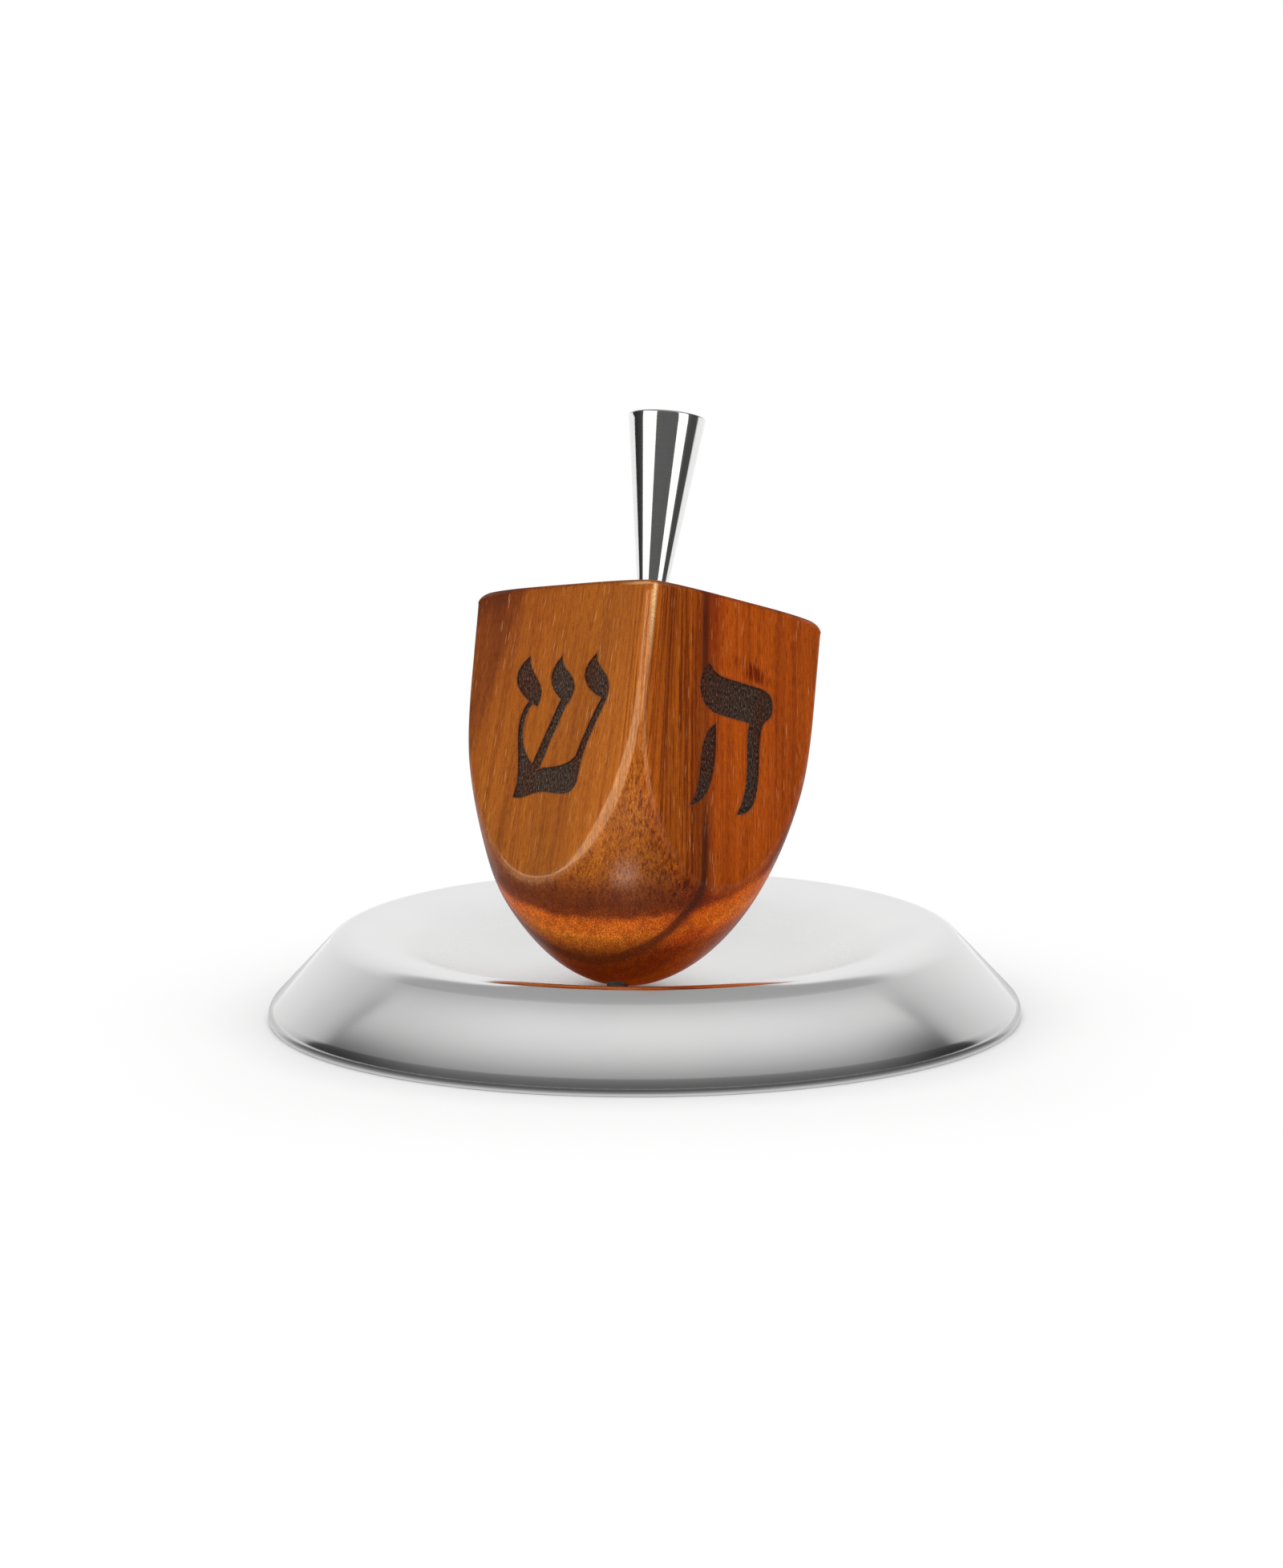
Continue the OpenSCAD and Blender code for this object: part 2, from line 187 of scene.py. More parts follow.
# The camera: the photograph's height and focal length in pixels, its place in metres, its turns in degrees
PHOTO_H, FOCAL, SENSOR = 1955, 18232, 36.0
CAMERA_AT, DOWN, YAW, ROLL = (0, -2.415, 0.5143), 11.11, -0.008, -0.31


def new_object(name, verts, faces):
    mesh = bpy.data.meshes.new(name)
    mesh.from_pydata(verts, [], faces)
    obj = bpy.data.objects.new(name, mesh)
    bpy.context.scene.collection.objects.link(obj)
    return obj


def add_piece(name, verts, faces, node, body, place=None):
    """A smooth mesh piece, in metres, that rides on a body and replaces a CAD node."""
    place = place or Matrix.Identity(4)
    verts = [tuple(place @ Vector(v)) for v in verts]
    obj = new_object(name, verts, [tuple(int(i) for i in f) for f in faces])
    mesh = obj.data
    mesh.validate()
    mesh.polygons.foreach_set("use_smooth", [True] * len(mesh.polygons))
    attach(obj, body)
    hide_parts(node)
    return obj


def merge(obj):
    """Joins the vertices that lie on one point, and turns all faces outward."""
    bm = bmesh.new()
    bm.from_mesh(obj.data)
    bmesh.ops.remove_doubles(bm, verts=bm.verts, dist=1e-7)
    bmesh.ops.recalc_face_normals(bm, faces=bm.faces)
    bm.to_mesh(obj.data)
    bm.free()


def lathe(profile, segments):
    """Vertices, faces and rings of a profile turned about Z. Points on the axis become one vertex."""
    verts, rings = [], []
    for r, z in profile:
        if r < 1e-6:
            rings.append([len(verts)])
            verts.append((0.0, 0.0, z))
        else:
            rings.append(list(range(len(verts), len(verts) + segments)))
            for i in range(segments):
                a = 2 * math.pi * i / segments
                verts.append((r * math.cos(a), r * math.sin(a), z))
    faces = []
    for low, high in zip(rings, rings[1:]):
        for i in range(segments):
            j = (i + 1) % segments
            if len(low) == 1:
                faces.append((low[0], high[j], high[i]))
            elif len(high) == 1:
                faces.append((low[i], low[j], high[0]))
            else:
                faces.append((low[i], low[j], high[j], high[i]))
    return verts, faces, rings


def round_arc(cx, cz, r, start, end, steps):
    """Points on an arc from one angle to another, in degrees."""
    angles = [math.radians(start + (end - start) * i / steps) for i in range(steps + 1)]
    return [(cx + r * math.cos(a), cz + r * math.sin(a)) for a in angles]


def bezier(p, steps=20):
    t = np.linspace(0, 1, steps + 1)[:, None]
    p = np.array(p)
    return (1 - t) ** 3 * p[0] + 3 * (1 - t) ** 2 * t * p[1] + 3 * (1 - t) * t * t * p[2] + t ** 3 * p[3]


def inside(points, polygon):
    """Which points lie in a closed polygon."""
    x, y = points[:, 0], points[:, 1]
    found = np.zeros(len(points), bool)
    for (x0, y0), (x1, y1) in zip(polygon, np.roll(polygon, -1, axis=0)):
        if y0 != y1:
            cross = (y0 > y) != (y1 > y)
            found ^= cross & (x < (x1 - x0) * (y - y0) / (y1 - y0) + x0)
    return found


def distance(points, polygons):
    """Each point's distance to the nearest outline of some closed polygons."""
    best = np.full(len(points), 1e9)
    for polygon in polygons:
        for a, b in zip(polygon, np.roll(polygon, -1, axis=0)):
            d = b - a
            n = d @ d
            if n < 1e-12:
                continue
            t = np.clip(((points - a) @ d) / n, 0, 1)
            best = np.minimum(best, np.linalg.norm(points - a - t[:, None] * d, axis=1))
    return best


def soft_min(a, b, k):
    """The smaller of two values, with a round passage of width k from one to the other."""
    h = np.maximum(k - np.abs(a - b), 0) / k
    return np.minimum(a, b) - h * h * k / 4


def quarter_turns(q):
    """Cosine and sine of some quarter turns."""
    turn = math.radians(90 * q)
    return math.cos(turn), math.sin(turn)


def block_outline():
    """The block's square outline with its round corners, and the columns of each side's letter window."""
    flat = HALF - CORNER
    outline, windows = [], []
    for q in range(4):
        c, s = quarter_turns(q)
        first = len(outline)
        windows.append(list(range(first + MARGIN, first + SIDE_POINTS - MARGIN)))
        points = [(u, -HALF) for u in np.linspace(-flat, flat, SIDE_POINTS)]
        for a in np.linspace(0, 90, CORNER_STEPS + 1)[1:-1]:
            t = math.radians(a - 90)
            points.append((flat + CORNER * math.cos(t), -flat + CORNER * math.sin(t)))
        outline += [(c * x - s * y, s * x + c * y) for x, y in points]
    return np.array(outline), windows


def block_grid(outline):
    """The block's vertices in rings from the tip's hole to the insert's, and the windows' first and last ring."""
    n = len(outline)
    R = np.linalg.norm(outline, axis=1)
    unit = outline / R[:, None]
    hole, bore = TIP_D / 2 + FIT, INSERT_D / 2 + FIT
    start, stop = math.asin(hole / DOME_R), np.arcsin(R / DOME_R)
    z_arch = DOME_H * (1 - np.cos(stop))
    rounding = TOP_ROUND + TOP_CORNER * np.clip((R - HALF) / (R.max() - HALF), 0, 1) ** 2
    top = HEIGHT - rounding

    def full(z):
        """The dome is sanded a little fuller on the letter shin's side, most at the arch's foot."""
        around = np.arctan2(unit[:, 1], unit[:, 0]) - math.radians(FULL_SIDE)
        return FULLER * np.exp(-((z - FULL_Z) / FULL_SPREAD) ** 2) * (1 + FULL_UNEVEN * np.cos(around))

    # Each row: the radius and the height per column
    rows = [(np.full(n, r), np.full(n, TIP_L - TIP_OUT)) for r in (0.0, hole)]
    for t in 1 - (1 - np.linspace(0, 1, DOME_ROWS)) ** DOME_BIAS:
        a = start + (stop - start) * t
        z = DOME_H * (1 - np.cos(a))
        rows.append((soft_min(DOME_R * np.sin(a) + full(z), R, RIDGE), z))
    # The window's rings lie well above the ridge, and below the rounded top
    upper = np.linspace(0, 1, SIDE_ROWS + 1)[1:] ** SIDE_BIAS
    low = len(rows) + int(np.searchsorted(upper, WINDOW_FOOT))
    high = len(rows) + len(upper) - WINDOW_TOP
    for t in upper:
        z = z_arch + (top - z_arch) * t
        over = 1 - np.minimum(z, DOME_H) / DOME_H
        r = np.where(z < DOME_H, DOME_R * np.sqrt(np.maximum(0, 1 - over ** 2)), DOME_R)
        rows.append((soft_min(r + full(z), R, RIDGE), z))
    for b in np.linspace(0, 90, TOP_STEPS + 1)[1:]:
        b = math.radians(b)
        rows.append((R * (1 - rounding * (1 - math.cos(b)) / HALF), top + rounding * math.sin(b)))
    edge = rows[-1][0]
    rows += [(edge + (bore - edge) * t, np.full(n, HEIGHT)) for t in np.linspace(0, 1, LID_STEPS + 1)[1:]]
    rows += [(np.full(n, r), np.full(n, HEIGHT - INSERT_L)) for r in (bore, 0.0)]
    verts = np.concatenate([np.column_stack([unit * r[:, None], z]) for r, z in rows])
    return verts, len(rows), low, high


def letter_outlines(strokes):
    """A letter's strokes as closed outlines on its side of the block, in millimetres."""
    corner = np.array([LETTER_SHIFT, HEIGHT - LETTER_DROP - LETTER_H])
    shapes = []
    for one, other in strokes:
        p = np.concatenate([bezier(one), bezier(other)[::-1]]) * LETTER_H + corner
        keep = np.linalg.norm(p - np.roll(p, 1, axis=0), axis=1) > 1e-4
        shapes.append(p[keep])
    return shapes


def fill_window(q, ids, verts, burn, faces, rng):
    """Fills a side's window, whose edge runs through the vertices ids, with its letter sunk into it."""
    c, s = quarter_turns(q)
    shapes = letter_outlines(LETTERS[q])

    def add(u, v, depth, burnt):
        x, y = u, depth - HALF
        verts.append((c * x - s * y, s * x + c * y, v))
        burn.append(burnt)
        return len(verts) - 1

    ring = np.array([(c * verts[k][0] + s * verts[k][1], verts[k][2]) for k in ids])
    points, edges = [], []
    for p in [ring] + shapes:
        k0 = len(points)
        points += [tuple(v) for v in p]
        edges += [(k0 + k, k0 + (k + 1) % len(p)) for k in range(len(p))]
    low, high = ring.min(0), ring.max(0)
    gu, gv = np.meshgrid(np.arange(low[0], high[0], GRID), np.arange(low[1], high[1], GRID))
    extra = [np.column_stack([gu.ravel(), gv.ravel()]) + rng.uniform(-JITTER, JITTER, (gu.size, 2))]
    for p in shapes:
        along = np.roll(p, -1, axis=0) - p
        normal = np.column_stack([along[:, 1], -along[:, 0]]) / (np.linalg.norm(along, axis=1)[:, None] + 1e-9)
        extra += [p + along / 2 + normal * d for d in BESIDE]
    extra = np.concatenate(extra)
    extra = extra[inside(extra, ring) & (distance(extra, [ring]) > RING_CLEAR)]
    extra = extra[distance(extra, shapes) > STROKE_CLEAR]
    points += [tuple(p) for p in extra]
    out, _, tris, origins, _, _ = delaunay_2d_cdt([Vector(p) for p in points], edges, [], 0, 1e-5)
    out = np.array([tuple(v) for v in out])
    tris = np.array([f for f in tris if len(f) == 3])
    tris = tris[inside(out[tris].mean(axis=1), ring)]
    centre = out[tris].mean(axis=1)
    cut = np.any([inside(centre, p) for p in shapes], axis=0)
    gap = distance(out, shapes)

    # The vertices on the side's surface and on the letter's floor, by their number in the triangulation
    surface, floor = {}, {}
    for k, source in enumerate(origins):
        mine = [o for o in source if o < len(ids)]
        if mine:
            surface[k] = ids[mine[0]]
    shared = {}
    for tri, is_cut in zip(tris.tolist(), cut):
        table = floor if is_cut else surface
        for k in tri:
            if k not in table and is_cut:
                table[k] = add(*out[k], LETTER_DEPTH, 1.0)
            elif k not in table:
                table[k] = add(*out[k], 0.0, float(np.clip(SCORCH * (1 - gap[k] / SCORCH_REACH), 0, 1)))
        a, b, d = tri
        faces.append((table[a], table[b], table[d]))
        for e in ((a, b), (b, d), (d, a)):
            shared.setdefault(tuple(sorted(e)), []).append((is_cut, e))
    # The letter's walls stand where a stroke's edge parts the surface from the floor
    for pair in shared.values():
        if len(pair) == 2 and pair[0][0] != pair[1][0]:
            a, b = [e for is_cut, e in pair if not is_cut][0]
            faces.append((surface[b], surface[a], floor[a], floor[b]))


def build_wood():
    """The block: a grid that follows the ridge, with a window for its letter on each flat side."""
    outline, windows = block_outline()
    verts, count, low, high = block_grid(outline)
    n = len(outline)
    open_cells = np.zeros((count, n), bool)
    for cols in windows:
        open_cells[low:high, cols[:-1]] = True
    faces = []
    for j in range(count - 1):
        for i in range(n):
            if not open_cells[j, i]:
                k = (i + 1) % n
                faces.append((j * n + i, j * n + k, (j + 1) * n + k, (j + 1) * n + i))
    verts = list(map(tuple, verts))
    burn = [0.0] * len(verts)
    rng = np.random.default_rng(7)
    for q, cols in enumerate(windows):
        loop = [(low, i) for i in cols] + [(j, cols[-1]) for j in range(low + 1, high + 1)]
        loop += [(high, i) for i in cols[-2::-1]] + [(j, cols[0]) for j in range(high - 1, low, -1)]
        fill_window(q, [j * n + i for j, i in loop], verts, burn, faces, rng)
    verts = [(x * MM, y * MM, z * MM) for x, y, z in verts]
    obj = add_piece("wood_block", verts, faces, "wood_body", "dreidel", AXIS_PLACE)
    obj.data.attributes.new("burn", "FLOAT", "POINT").data.foreach_set("value", burn)
    merge(obj)
    obj.data.set_sharp_from_angle(angle=math.radians(SHARP))
    return obj


def build_handle():
    """The handle's profile from the stud's hole over its foot, neck and cone to the flat top."""
    neck, grip, hole = NECK_D / 2, HANDLE_D / 2, STUD_D / 2 + FIT
    wider, rise = grip - neck, HANDLE_L - NECK_L
    slope = math.atan2(wider, rise)
    profile = [(0, STUD_UP + ROOM), (hole, STUD_UP + ROOM), (hole, 0), (neck - NECK_BEVEL, 0), (neck, NECK_BEVEL)]
    profile += [(neck, z) for z in np.linspace(NECK_BEVEL, NECK_L - NECK_SOFT, NECK_POINTS)[1:]]
    # The neck's passage to the cone, softened by two points that stand out a trace
    profile += [(neck + 0.02, NECK_L), (neck + wider * NECK_SOFT / rise + 0.01, NECK_L + NECK_SOFT)]
    profile += [(neck + wider * t, NECK_L + rise * t) for t in np.linspace(0, 1, GRIP_POINTS)[1:-1]]
    # The rim's rounding, set in 2 % less than where it would just touch the cone
    crown_x = grip - GRIP_CROWN * (1 + math.sin(slope)) / math.cos(slope) * 0.98
    profile += round_arc(crown_x, HANDLE_L - GRIP_CROWN, GRIP_CROWN, -math.degrees(slope), 90, CROWN_STEPS)
    profile += [(r, HANDLE_L) for r in np.linspace(crown_x, 0, LID_POINTS)[1:]]
    verts, faces, _ = lathe([(r * MM, (HEIGHT + z) * MM) for r, z in profile], HANDLE_SEGMENTS)
    obj = add_piece("handle_grip", verts, faces, "handle", "dreidel", AXIS_PLACE)
    merge(obj)
    obj.data.set_sharp_from_angle(angle=math.radians(SHARP))
    return obj


def build_dish():
    """The dish's profile from its underside round the foot, flank, rim and bowl to the middle and back."""
    foot = np.array([DISH_D / 2 - FOOT_R, FOOT_Z])
    rim = np.array([CREST_R, DISH_H - RIM_R])
    d = rim - foot
    flank = math.degrees(math.atan2(d[1], d[0]) - math.acos((FOOT_R - RIM_R) / np.linalg.norm(d)))
    turn = math.degrees(math.asin(CREST_R / (BOWL_R + LIP_R)))
    inner = DISH_D / 2 - FOOT_W
    under = [(r, RECESS) for r in np.linspace(0, inner, UNDER_POINTS)] + [(inner, 0.0), (inner + FOOT_FLAT, 0.0)]
    foot_start = -math.degrees(math.asin(FOOT_Z / FOOT_R))
    foot_arc = round_arc(foot[0], foot[1], FOOT_R, foot_start, flank, FOOT_STEPS)
    rim_arc = round_arc(rim[0], rim[1], RIM_R, flank, 90, RIM_STEPS)
    lip_arc = round_arc(CREST_R, DISH_H - LIP_R, LIP_R, 90, 90 + turn, LIP_STEPS)
    bowl = round_arc(0, BOWL_Z, BOWL_R, turn - 90, -90, BOWL_STEPS)
    a, b = np.array(foot_arc[-1]), np.array(rim_arc[0])
    cone = [tuple(a + (b - a) * t) for t in np.linspace(0, 1, CONE_POINTS)[1:-1]]
    profile = under + foot_arc + cone + rim_arc + lip_arc[1:] + bowl[1:-1] + [(0, bowl[-1][1])]
    verts, faces, rings = lathe([(r * MM, z * MM) for r, z in profile], DISH_SEGMENTS)
    obj = add_piece("turned_dish", verts, faces, "dish", "dish")
    mesh = obj.data

    def slopes(arc, centre):
        return [math.degrees(math.atan2(z - centre[1], r - centre[0])) for r, z in arc]

    # Shading normals, as slope and dip: the flank is a trace convex, as polishing leaves it, and at the front
    # the rim shades lower by the dip
    shading = [(a + np.interp(a, (FLANK_FROM, flank), (0, FLANK_LOW - flank)), 0) for a in slopes(foot_arc, foot)]
    shading += [(a, 0) for a in np.linspace(FLANK_LOW, FLANK_HIGH, len(cone) + 2)[1:-1]]
    for a in slopes(rim_arc, rim):
        dip = np.interp(a, (DIP_FROM, DIP_AT, 90), (0, DIP, 0))
        shading.append((a + np.interp(a, (flank, FLANK_TO), (FLANK_HIGH - flank, 0)), dip))
    normals = [tuple(v.normal) for v in mesh.vertices]
    for (slope, dip), ring in zip(shading, rings[len(under):]):
        for i in ring:
            x, y, _ = verts[i]
            r = math.hypot(x, y)
            dipped = dip * np.interp(math.degrees(math.acos(-y / r)), (DIP_FULL, DIP_END), (1, 0))
            turned = math.radians(slope - dipped)
            c, s = math.cos(turned), math.sin(turned)
            normals[i] = (c * x / r, c * y / r, s)
    mesh.set_sharp_from_angle(angle=math.radians(SHARP))
    mesh.normals_split_custom_set_from_vertices(normals)
    return obj


def rgba(colour):
    """A grey value or a colour as four numbers."""
    return (*colour, 1) if isinstance(colour, tuple) else (colour, colour, colour, 1)


class Graph:
    """Short ways to add shader nodes."""

    def __init__(self, tree):
        self.tree = tree
        self.tree.nodes.clear()

    def node(self, kind, **inputs):
        """A node. A p_ before a name sets a property, an i and a number or else a name sets an input."""
        n = self.tree.nodes.new(kind)
        for key, value in inputs.items():
            if key.startswith("p_"):
                setattr(n, key[2:], value)
        for key, value in inputs.items():
            if not key.startswith("p_"):
                numbered = key[0] == "i" and key[1:].isdigit()
                self.set(n.inputs[int(key[1:]) if numbered else key.replace("_", " ")], value)
        return n

    def set(self, socket, value):
        if isinstance(value, bpy.types.NodeSocket):
            self.tree.links.new(value, socket)
        else:
            socket.default_value = rgba(value) if socket.type == "RGBA" else value

    def math(self, op, a, b=0.0, c=0.0):
        return self.node("ShaderNodeMath", p_operation=op, i0=a, i1=b, i2=c).outputs[0]

    def add(self, a, b):
        return self.math("ADD", a, b)

    def less(self, a, b):
        return self.math("SUBTRACT", a, b)

    def times(self, *values):
        return reduce(lambda a, b: self.math("MULTIPLY", a, b), values)

    def line(self, value, factor, offset):
        return self.math("MULTIPLY_ADD", value, factor, offset)

    def larger(self, a, b):
        return self.math("MAXIMUM", a, b)

    def vector(self, op, a, b=(0, 0, 0)):
        n = self.node("ShaderNodeVectorMath", p_operation=op, i0=a, i1=b)
        return n.outputs["Value" if op == "LENGTH" else "Vector"]

    def parts(self, vector):
        return self.node("ShaderNodeSeparateXYZ", Vector=vector).outputs

    def join(self, x, y):
        return self.node("ShaderNodeCombineXYZ", X=x, Y=y, Z=0.0).outputs[0]

    def step(self, value, low, high, start=0.0, end=1.0):
        """A soft passage from start to end while the value goes from low to high."""
        return self.node("ShaderNodeMapRange", p_interpolation_type="SMOOTHSTEP", p_clamp=True,
                         i0=value, i1=low, i2=high, i3=start, i4=end).outputs[0]

    def linear(self, value, low, high, start=0.0, end=1.0):
        """The same with an even slope."""
        return self.node("ShaderNodeMapRange", p_clamp=True, i0=value, i1=low, i2=high, i3=start, i4=end).outputs[0]

    def mix(self, factor, a, b, blend="MIX"):
        n = self.node("ShaderNodeMix", p_data_type="RGBA", p_blend_type=blend, i0=factor, i6=a, i7=b)
        return n.outputs[2]

    def tint(self, factor, colour, by):
        """The colour, multiplied by another one as far as the factor says."""
        return self.mix(factor, colour, self.mix(1.0, colour, by, "MULTIPLY"))

    def ramp(self, value, stops):
        n = self.node("ShaderNodeValToRGB", i0=value)
        n.color_ramp.interpolation = "LINEAR"
        points = n.color_ramp.elements
        while len(points) > 1:
            points.remove(points[-1])
        for k, (place, colour) in enumerate(stops):
            p = points[0] if k == 0 else points.new(place)
            p.position = place
            p.color = rgba(colour)
        return n.outputs[0]

    def ramp_over(self, value, stops):
        """A colour ramp whose stops are given by the value itself."""
        low, high = stops[0][0], stops[-1][0]
        return self.ramp(self.linear(value, low, high), [((v - low) / (high - low), c) for v, c in stops])

    def tones(self, colour, value, stops):
        """The colour, multiplied by a ramp over the value."""
        return self.mix(1.0, colour, self.ramp(value, stops), "MULTIPLY")

    def noise(self, vector, scale, detail=2.0, rough=0.5):
        """Noise over a vector that is first stretched along each axis."""
        return self.node("ShaderNodeTexNoise", Vector=self.vector("MULTIPLY", vector, scale), Scale=1.0,
                         Detail=detail, Roughness=rough, Distortion=0.0).outputs["Fac"]

    def bump(self, height, strength, depth):
        return self.node("ShaderNodeBump", Height=height, Strength=strength, Distance=depth).outputs[0]

    def shader(self, kind, **inputs):
        return self.node(kind, **inputs).outputs[0]

    def surface(self, **inputs):
        """The Principled shader, as the material's surface."""
        self.node("ShaderNodeOutputMaterial", i0=self.shader("ShaderNodeBsdfPrincipled", **inputs))

    def azimuth(self, x, y):
        """Degrees to the right of straight ahead, for a direction seen from the front."""
        return self.times(self.math("ARCTAN2", x, self.times(y, -1.0)), math.degrees(1))

    def elevation(self, z):
        return self.times(self.math("ARCSINE", z), math.degrees(1))


def millimetres(g, own_axis=False):
    """Object coordinates in millimetres, on the dish's axis or on the top's own."""
    point = g.node("ShaderNodeTexCoord").outputs["Object"]
    if own_axis:
        back = AXIS_PLACE.inverted()
        point = g.node("ShaderNodeMapping", p_vector_type="POINT", Vector=point, Location=back.translation,
                       Rotation=back.to_euler()).outputs[0]
    return g.vector("MULTIPLY", point, (1000, 1000, 1000))


def new_material(name):
    mat = bpy.data.materials.new(name)
    mat.use_nodes = True
    return mat, Graph(mat.node_tree)


def wood_places(g):
    """Where a point lies in the block, in millimetres: in space, on the fibres, in the layers and on the nose."""
    w = SimpleNamespace(place=millimetres(g, own_axis=True))
    w.x, w.y, w.z = g.parts(w.place)
    w.sides = g.larger(g.math("ABSOLUTE", w.x), g.math("ABSOLUTE", w.y))
    # The fibres lean, but run in the two front sides' surfaces
    lean_x = g.times(w.z, g.step(w.x, *FIBRE_TURN, 0.0, FIBRE_X))
    lean_y = g.times(w.z, g.step(w.y, *FIBRE_TURN, 0.0, FIBRE_Y))
    w.fibre = g.vector("ADD", w.place, g.join(lean_x, lean_y))
    w.slow = g.noise(w.fibre, (0.16, 0.16, 0.05))
    # Growth layers: curved sheets through the block. Layer 0 is a dark one
    inward = g.add(w.y, HALF)
    bent = g.times(inward, g.line(inward, -0.0065, 0.57))
    layer = g.add(g.line(w.z, FIBRE_X, w.x), g.add(bent, 0.72))
    w.layer = g.add(layer, g.line(w.slow, 1.6, -0.8))
    # The nose is where the dome cuts across the grain, and rise the height over the edge of its painted bright band
    rise = g.less(w.z, g.line(w.x, 0.578, g.line(w.y, 0.347, 20.3)))
    w.rise = g.add(rise, g.line(w.slow, 2.0, -1.0))
    w.nose = g.times(g.step(w.sides, HALF, HALF - 0.6), g.step(w.z, 34.0, 26.0))
    w.broad = g.noise(w.fibre, (0.75, 0.75, 0.02))
    w.fine = g.noise(w.fibre, (4.6, 4.6, 0.08), 3.0, 0.6)
    w.mottle = g.noise(w.place, (4.2, 4.2, 3.2), 2.0, 0.6)
    return w


def grown_wood(g, w):
    """The wood's own colours on its four sides."""
    colour = g.ramp_over(w.layer, LAYERS)
    # Broad and fine streaks along the fibres, and short dashes and a fine mottle that the cut cells show close by
    colour = g.tones(colour, w.broad, BROAD_TONES)
    colour = g.tones(colour, w.fine, FINE_TONES)
    colour = g.tones(colour, g.noise(w.fibre, (6.0, 6.0, 0.55), 2.0, 0.6), DASH_TONES)
    colour = g.tones(colour, w.mottle, MOTTLE_TONES)
    # The early layers are darker where the letter he's side cuts them, with a brown patch and dark lines
    he_side = g.step(w.y, -19.0, -20.6)
    brown = g.times(g.step(w.z, 44.0, 55.0), g.step(w.x, -10.5, -8.0), g.step(w.x, -2.0, -5.5), he_side)
    colour = g.tint(brown, colour, (0.80, 0.66, 0.7))
    early = g.times(g.step(w.layer, 0.0, -2.0), g.step(w.layer, -15.0, -12.0), he_side)
    colour = g.tint(early, colour, (0.99, 0.80, 0.47))
    lines = g.step(g.noise(w.fibre, (1.6, 1.6, 0.045), 3.0, 0.65), 0.47, 0.62)
    lines = g.times(lines, g.step(w.y, -13.0, -20.0), g.step(w.layer, -0.5, -3.0), 0.85)
    colour = g.tint(lines, colour, (0.42, 0.28, 0.25))
    # A corner of darker heartwood
    corner = g.add(w.y, g.line(w.z, 0.33, -30.53))
    heart = g.times(g.step(corner, -0.7, 1.1), g.step(corner, 17.0, 3.0), g.step(w.x, 0.0, -14.0))
    return g.tint(heart, colour, (0.68, 0.62, 0.8))


def nose_grain_and_light(g, w, colour):
    """The cut across the grain on the nose, with painted light and shade: a band of painted shade, a painted bright
    band of the bowl's light below it, and a dark red tip in painted shade.
    """
    colour = g.tint(w.nose, colour, g.ramp_over(w.rise, NOSE_GRAIN_AND_LIGHT))
    # The tip is browner away from the dark layer, and so is the painted bright band to its right
    red = g.times(g.step(w.layer, 1.5, 3.5), g.step(w.layer, 9.0, 6.5))
    tip = g.times(w.nose, g.less(1.0, red), g.step(w.rise, -3.5, -6.0))
    colour = g.tint(tip, colour, (1.42, 1.8, 2.0))
    # Painted light: the painted bright band's colour is set further on both sides of the dark layer
    painted_glow = g.times(w.nose, g.step(w.layer, 0.5, 2.5), g.step(w.rise, -7.0, -4.5), g.step(w.rise, 0.8, -0.5))
    colour = g.tint(painted_glow, colour, (1.0, 1.34, 0.7))
    painted_glow = g.times(w.nose, g.step(w.layer, 0.5, -1.5), g.step(w.rise, -6.0, -4.5), g.step(w.rise, 0.5, -1.5))
    colour = g.tint(painted_glow, colour, (1.26, 1.30, 1.5))
    # Cells that the dome cuts at a slant, seen as short dark strokes
    cells = g.step(g.noise(w.fibre, (2.2, 2.2, 0.6), 1.0), 0.46, 0.37)
    cells = g.times(cells, w.nose, g.step(w.rise, 1.0, 5.5), g.step(w.z, 33.0, 27.0), 0.65)
    return g.tint(cells, colour, (0.46, 0.32, 0.28))


def dark_layer(g, w, colour):
    """The dark layer itself, with a wide weak shade round it, strongest low down."""
    core = g.times(g.step(w.layer, -0.9, -0.3), g.step(w.layer, 1.5, 0.4, 0.0, 0.78))
    shade = g.times(g.step(w.layer, -1.4, 0.0), g.step(w.layer, 3.6, 0.6, 0.0, 0.22))
    power = g.ramp(g.linear(w.z, 0.0, HEIGHT), DARK_POWER)
    streak = g.times(g.add(core, shade), power, g.linear(w.broad, 0.25, 0.55, 0.8, 1.0))
    return g.mix(streak, colour, (0.055, 0.010, 0.003))


def pores(g, along, scale, shift):
    """Thin cells along the grain, of which about a third show."""
    place = g.vector("ADD", g.vector("MULTIPLY", along, scale), (shift, shift, shift))
    cells = g.node("ShaderNodeTexVoronoi", p_feature="F1", Vector=place, Scale=1.0, Randomness=1.0)
    shown = g.step(cells.outputs["Distance"], 0.16, 0.27, 1.0, 0.0)
    pick = g.node("ShaderNodeSeparateColor", i0=cells.outputs["Color"]).outputs[0]
    return g.times(shown, g.step(pick, 0.30, 0.62))


